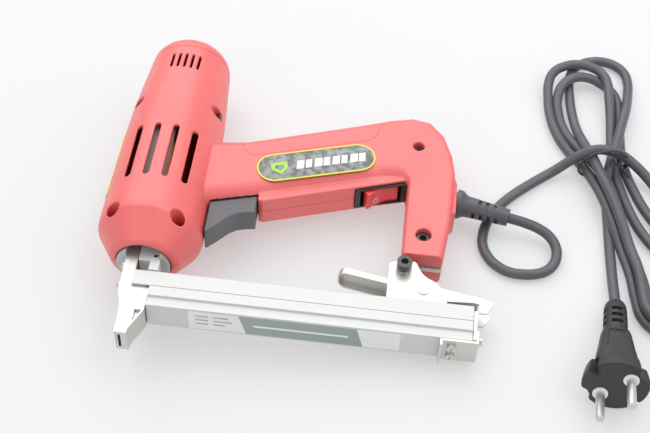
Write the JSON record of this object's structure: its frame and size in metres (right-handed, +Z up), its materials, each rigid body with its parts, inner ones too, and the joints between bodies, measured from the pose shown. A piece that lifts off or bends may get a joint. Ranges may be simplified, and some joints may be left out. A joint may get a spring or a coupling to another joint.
{
  "type": "electric staple gun",
  "caption": "Electric staple gun with a D-shaped grip, solenoid barrel, latched slide-out magazine and a two-core mains lead with plug.",
  "frame": {"origin": "middle of the staple exit at the nose tip, with the gun lying on its side", "axes": "-Y is the way the staple leaves, +X runs back along the magazine, +Z is up, out of the gun's upper side; the gun's own plane leans 5 degrees about Y"},
  "size_m": [0.3551, 0.2763, 0.0606],
  "materials": {
    "red_abs": "satin moulded ABS",
    "black_plastic": "matt moulded",
    "grey_plastic": "satin moulded",
    "rocker_red": "glossy",
    "nickel_steel": "bright nickel plate, brushed",
    "black_steel": "black oxide",
    "plain_steel": "machined",
    "aluminium": "satin anodised",
    "zinc": "die-cast, satin",
    "copper": "enamelled copper",
    "nylon": "natural nylon",
    "rubber_black": "soft PVC, satin",
    "badge": "printed foil with a yellow border",
    "label": "printed paper label",
    "board": "fibreglass board",
    "white_plastic": "moulded"
  },
  "bodies": {
    "gun": {"housing_upper": "red_abs", "housing_lower": "red_abs", "barrel_cap": "red_abs", "handle_badge": "badge", "front_badge": "badge", "housing_screws": "black_steel", "post_cap_screw": "black_steel", "foot_lug": "nickel_steel", "nose_body": "nickel_steel", "front_plate": "nickel_steel", "front_plate_screws": "nickel_steel", "nose_head_block": "zinc", "set_screw": "black_steel", "nose_collar": "plain_steel", "return_spring": "plain_steel", "coil_winding": "copper", "coil_bobbin": "nylon", "coil_yoke": "plain_steel", "rear_bumper": "rubber_black", "magazine_upper": "aluminium", "latch_bracket": "nickel_steel", "latch_pin": "nickel_steel", "latch_spring": "plain_steel", "latch_cap_screw": "black_steel", "latch_spacers": "nickel_steel", "trigger_spring": "plain_steel", "micro_switch": "black_plastic", "switch_body": "black_plastic", "control_board": "board", "strain_relief": "rubber_black", "internal_wires": "rubber_black", "cord_lead": "rubber_black", "cord_hank": "rubber_black", "cord_tail": "rubber_black", "cord_tie": "black_plastic", "plug_body": "rubber_black", "plug_bushes": "white_plastic", "plug_pins": "nickel_steel"},
    "trigger_piece": {"trigger": "grey_plastic"},
    "armature": {"plunger": "plain_steel", "driver_blade": "plain_steel"},
    "rocker_piece": {"rocker": "rocker_red"},
    "latch": {"latch_lever": "nickel_steel"},
    "magazine": {"magazine_lower": "aluminium", "staple_rail": "nickel_steel", "staple_strip": "plain_steel", "pusher_spring": "plain_steel", "end_plate": "nickel_steel", "end_screw": "nickel_steel", "pull_bracket": "nickel_steel", "pull_bracket_screws": "nickel_steel", "magazine_label": "label"},
    "pusher_piece": {"pusher": "plain_steel"}
  },
  "joints": [
    {"name": "trigger_slide", "type": "slide", "parent": "gun", "child": "trigger_piece", "axis": [0, 1, 0], "range_m": [0, 0.005], "stiffness_N_per_m": 600, "springref_m": -0.002, "deforming": ["trigger_spring"]},
    {"name": "armature_slide", "type": "slide", "parent": "gun", "child": "armature", "axis": [0, -1, 0], "range_m": [0, 0.033], "stiffness_N_per_m": 150, "springref_m": -0.01, "deforming": ["return_spring"]},
    {"name": "rocker_pivot", "type": "hinge", "parent": "gun", "child": "rocker_piece", "pos_m": [0.12974, 0.12374, -0.01135], "axis": [0.0872, 0, 0.9962], "range_deg": [-26, 0]},
    {"name": "latch_pivot", "type": "hinge", "parent": "gun", "child": "latch", "pos_m": [0.15959, 0.0485, -0.01396], "axis": [0.0872, 0, 0.9962], "range_deg": [0, 12], "stiffness_Nm_per_rad": 0.6, "springref_deg": -11.46},
    {"name": "magazine_slide", "type": "slide", "parent": "gun", "child": "magazine", "axis": [0.9962, 0, -0.0872], "range_m": [0, 0.048]},
    {"name": "pusher_slide", "type": "slide", "parent": "magazine", "child": "pusher_piece", "axis": [0.9962, 0, -0.0872], "range_m": [0, 0.07], "stiffness_N_per_m": 60, "springref_m": -0.03, "deforming": ["pusher_spring"]}
  ]
}
